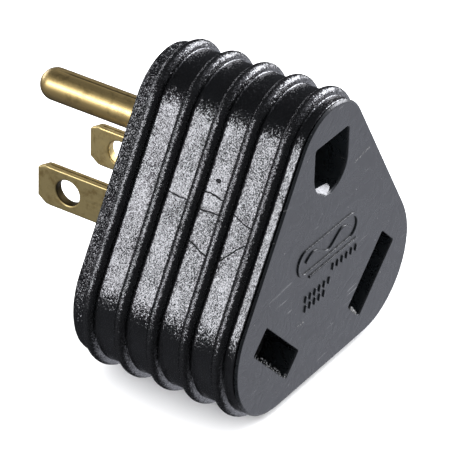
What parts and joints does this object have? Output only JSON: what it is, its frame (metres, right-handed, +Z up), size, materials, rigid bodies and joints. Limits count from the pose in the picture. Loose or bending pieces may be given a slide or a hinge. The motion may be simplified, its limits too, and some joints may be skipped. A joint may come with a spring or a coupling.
{
  "type": "power adapter",
  "caption": "Compact moulded power adapter with a rounded-triangle ribbed body, a three-slot receptacle in front and two flat blades and a round ground pin behind.",
  "frame": {"origin": "middle of the footprint, at the level of the ribs that the body rests on", "axes": "-Y out of the receptacle face, +Y along the prongs, +Z up towards the ground slot and pin"},
  "size_m": [0.0462, 0.0478, 0.0447],
  "materials": {
    "textured_vinyl": "fine spark texture, semi-gloss",
    "smooth_vinyl": "smooth moulded, satin",
    "core_plastic": "smooth moulded, matte",
    "spacer_plastic": "matte",
    "prong_brass": "satin, drawn and blanked",
    "contact_brass": "satin strip",
    "spring_steel": "bright strip"
  },
  "bodies": {
    "root": {"outer_jacket": "textured_vinyl", "receptacle_face": "smooth_vinyl", "plug_face": "smooth_vinyl", "contact_carrier": "core_plastic", "busbar_spacer": "spacer_plastic", "line_blade": "prong_brass", "neutral_blade": "prong_brass", "ground_pin": "prong_brass", "line_contact": "contact_brass", "neutral_contact": "contact_brass", "ground_contact": "contact_brass", "line_contact_spring": "spring_steel", "neutral_contact_spring": "spring_steel", "ground_contact_spring": "spring_steel", "line_strap": "contact_brass", "neutral_strap": "contact_brass", "ground_strap": "contact_brass", "line_contact_rivet": "contact_brass", "line_blade_rivet": "contact_brass", "neutral_contact_rivet": "contact_brass", "neutral_blade_rivet": "contact_brass", "ground_contact_rivet": "contact_brass"}
  },
  "joints": []
}
